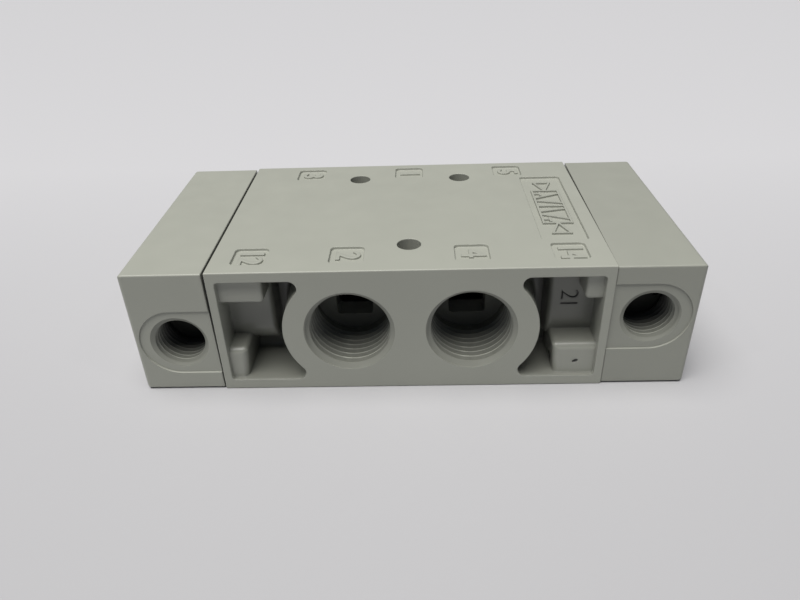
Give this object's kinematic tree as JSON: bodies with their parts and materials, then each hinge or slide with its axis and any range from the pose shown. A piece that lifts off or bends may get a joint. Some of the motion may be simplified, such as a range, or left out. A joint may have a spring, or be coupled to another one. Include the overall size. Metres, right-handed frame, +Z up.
{
  "type": "air-piloted directional valve",
  "caption": "Five-port two-position spool valve, switched by air at either end cover; threaded ports front and rear, screwed down through its body.",
  "frame": {"origin": "middle of the underside, below the spool's mid-length", "axes": "+X along the spool's bore towards the cover of pilot 14, +Y towards ports 1, 3 and 5, +Z up out of the top face that carries the numbers"},
  "size_m": [0.129, 0.064, 0.032],
  "materials": {
    "body_paint": "satin",
    "gasket_sheet": "matte",
    "screw_steel": "satin",
    "spool_aluminium": "satin",
    "seal_rubber": "satin",
    "piston_acetal": "satin",
    "bumper_rubber": "matte"
  },
  "bodies": {
    "housing": {"valve_body": "body_paint", "left_end_cover": "body_paint", "right_end_cover": "body_paint", "left_gasket": "gasket_sheet", "right_gasket": "gasket_sheet", "left_bumper": "bumper_rubber", "right_bumper": "bumper_rubber", "left_front_screw": "screw_steel", "left_rear_screw": "screw_steel", "right_front_screw": "screw_steel", "right_rear_screw": "screw_steel"},
    "spool": {"spool": "spool_aluminium", "spool_seal_1": "seal_rubber", "spool_seal_2": "seal_rubber", "spool_seal_3": "seal_rubber", "spool_seal_4": "seal_rubber", "spool_seal_5": "seal_rubber", "spool_seal_6": "seal_rubber"},
    "left_piston": {"left_piston": "piston_acetal", "left_piston_seal": "seal_rubber"},
    "right_piston": {"right_piston": "piston_acetal", "right_piston_seal": "seal_rubber"}
  },
  "joints": [
    {"name": "spool_slide", "type": "slide", "parent": "housing", "child": "spool", "axis": [1, 0, 0], "range_m": [0, 0.007]},
    {"name": "left_piston_slide", "type": "slide", "parent": "housing", "child": "left_piston", "axis": [1, 0, 0], "range_m": [0, 0.007]},
    {"name": "right_piston_slide", "type": "slide", "parent": "housing", "child": "right_piston", "axis": [1, 0, 0], "range_m": [0, 0.007]}
  ],
  "couplings": [
    {"joint": "left_piston_slide", "follows": "spool_slide", "ratio": 1},
    {"joint": "right_piston_slide", "follows": "spool_slide", "ratio": 1}
  ]
}
